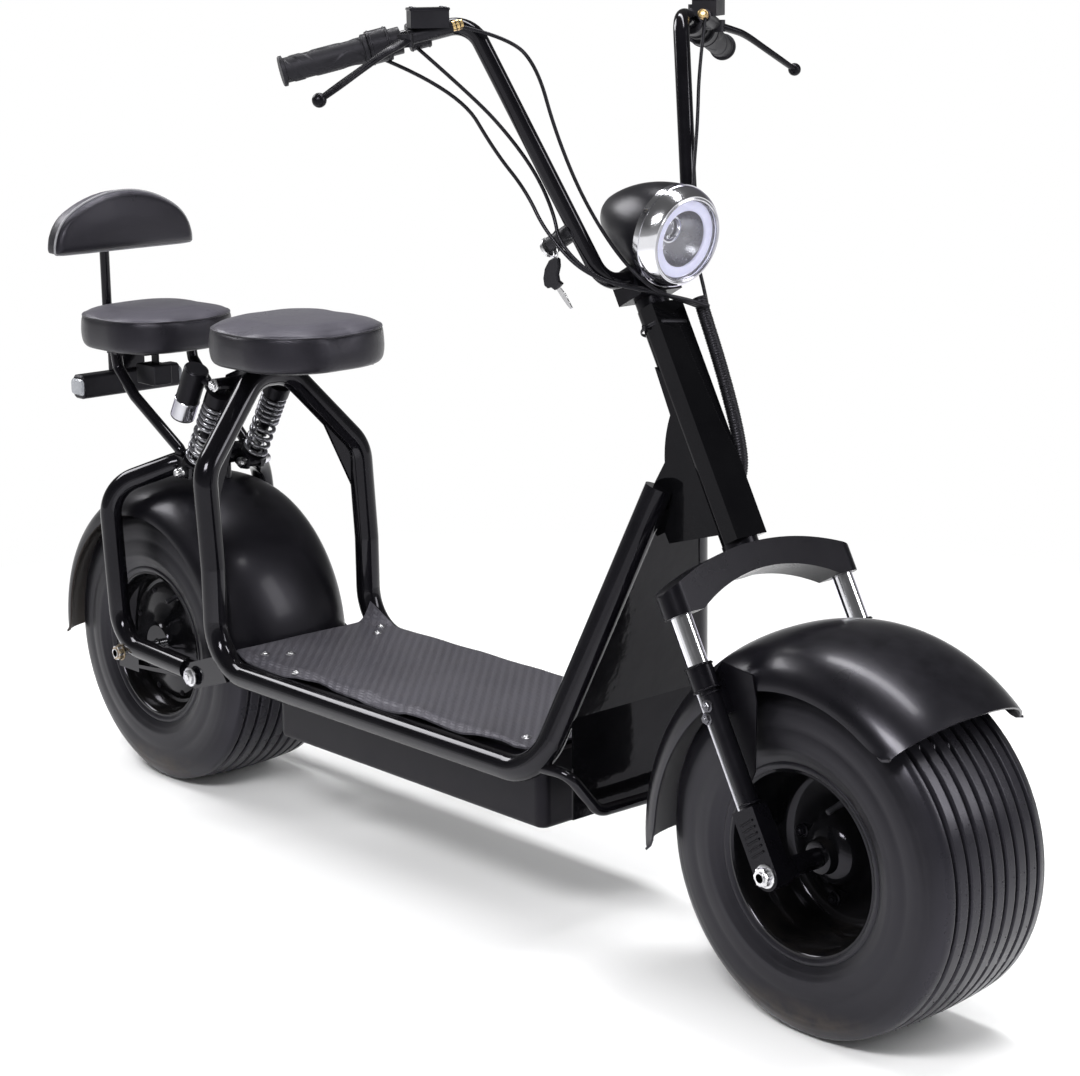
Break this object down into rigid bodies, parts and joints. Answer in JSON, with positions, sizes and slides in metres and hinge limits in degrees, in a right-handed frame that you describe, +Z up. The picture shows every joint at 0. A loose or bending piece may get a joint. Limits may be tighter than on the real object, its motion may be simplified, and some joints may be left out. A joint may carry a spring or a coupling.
{
  "type": "electric chopper scooter",
  "caption": "Electric chopper scooter with two wide tyres, a low tube frame and deck, high handlebar, two padded seats and a backrest.",
  "frame": {"origin": "middle of the footprint on the floor, halfway between rearmost and foremost points", "axes": "+X forward, +Y to the rider's left, +Z up"},
  "size_m": [1.8962, 0.856, 1.2476],
  "materials": {
    "frame_paint": "gloss",
    "tyre_rubber": "matte",
    "rim_paint": "gloss",
    "fender_plastic": "satin",
    "black_plastic": "satin",
    "seat_cover": "satin",
    "chrome": "polished",
    "zinc_steel": "satin",
    "deck_rubber": "matte",
    "grip_rubber": "matte",
    "lens": "polished"
  },
  "bodies": {
    "frame": {"deck_rail_left": "frame_paint", "deck_rail_right": "frame_paint", "down_tube_left": "frame_paint", "down_tube_right": "frame_paint", "seat_hoop": "frame_paint", "battery_box": "frame_paint", "deck_plate": "frame_paint", "head_tube": "frame_paint", "neck_plates": "frame_paint", "front_panel": "frame_paint", "guard_bar": "frame_paint", "swing_arm_left": "frame_paint", "swing_arm_right": "frame_paint", "stand_bracket": "frame_paint", "seat_pans": "frame_paint", "rear_seat_frame": "frame_paint", "deck_mat": "deck_rubber", "rear_axle": "zinc_steel", "shock_springs": "zinc_steel", "shock_bodies": "black_plastic", "tail_lamps": "black_plastic", "wiring_loom": "black_plastic", "rear_fender": "fender_plastic", "front_seat": "seat_cover", "rear_seat": "seat_cover", "backrest": "seat_cover"},
    "steering": {"fork_bridge": "frame_paint", "fork_sliders": "frame_paint", "handlebar": "frame_paint", "handlebar_clamp": "frame_paint", "stanchions": "chrome", "headlight_bezel": "chrome", "front_axle": "zinc_steel", "front_fender": "fender_plastic", "grips": "grip_rubber", "bar_controls": "black_plastic", "brake_levers": "black_plastic", "headlight_shell": "black_plastic", "bar_cables": "black_plastic", "headlight_lens": "lens"},
    "front_wheel": {"front_tyre": "tyre_rubber", "front_rim": "rim_paint"},
    "rear_wheel": {"rear_tyre": "tyre_rubber", "rear_rim": "rim_paint"},
    "side_stand": {"side_stand": "frame_paint"}
  },
  "joints": [
    {"name": "steering", "type": "hinge", "parent": "frame", "child": "steering", "pos_m": [0.44125, 0, 0.72756], "axis": [-0.4741, 0, 0.8805], "range_deg": [-32, 32]},
    {"name": "front_wheel_spin", "type": "hinge", "parent": "steering", "child": "front_wheel", "pos_m": [0.719, 0, 0.2286], "axis": [0, 1, 0], "continuous": true},
    {"name": "rear_wheel_spin", "type": "hinge", "parent": "frame", "child": "rear_wheel", "pos_m": [-0.681, 0, 0.2286], "axis": [0, 1, 0], "continuous": true},
    {"name": "side_stand_fold", "type": "hinge", "parent": "frame", "child": "side_stand", "pos_m": [-0.211, 0.158, 0.205], "axis": [0, 0.9371, 0.349], "range_deg": [0, 92.4]}
  ]
}
